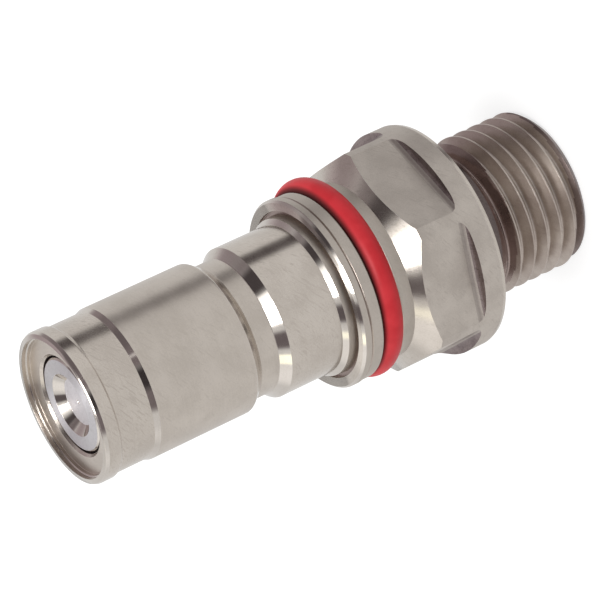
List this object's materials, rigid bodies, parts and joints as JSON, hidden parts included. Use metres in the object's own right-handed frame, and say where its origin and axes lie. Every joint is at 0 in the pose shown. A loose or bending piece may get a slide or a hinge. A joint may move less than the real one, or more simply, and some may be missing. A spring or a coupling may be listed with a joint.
{
  "type": "liquid cooling quick coupling plug",
  "caption": "Flat-face quick coupling plug for liquid cooling, with a pipe-threaded port, hexagon body, red marking ring and spring-closed valve poppet.",
  "frame": {"origin": "centre of the threaded end's face, on the axis", "axes": "+Z along the axis towards the valve face; two hexagon flats face +X and -X"},
  "size_m": [0.0188, 0.0188, 0.0451],
  "materials": {
    "turned_stainless": "turned, finely blasted stainless steel with polished chamfers",
    "satin_stainless": "satin machined stainless steel",
    "spring_steel": "drawn spring wire",
    "red_elastomer": "smooth red elastomer",
    "black_elastomer": "black elastomer"
  },
  "bodies": {
    "plug": {"adapter_body": "turned_stainless", "plug_nose": "turned_stainless", "identification_ring": "red_elastomer", "body_seal": "black_elastomer", "valve_spring": "spring_steel", "valve_guide": "satin_stainless", "guide_clip": "spring_steel"},
    "poppet": {"valve_poppet": "satin_stainless", "poppet_seal": "black_elastomer"}
  },
  "joints": [
    {"name": "poppet_slide", "type": "slide", "parent": "plug", "child": "poppet", "axis": [0, 0, -1], "range_m": [0, 0.006], "stiffness_N_per_m": 900, "springref_m": -0.006, "deforming": ["valve_spring"]}
  ]
}
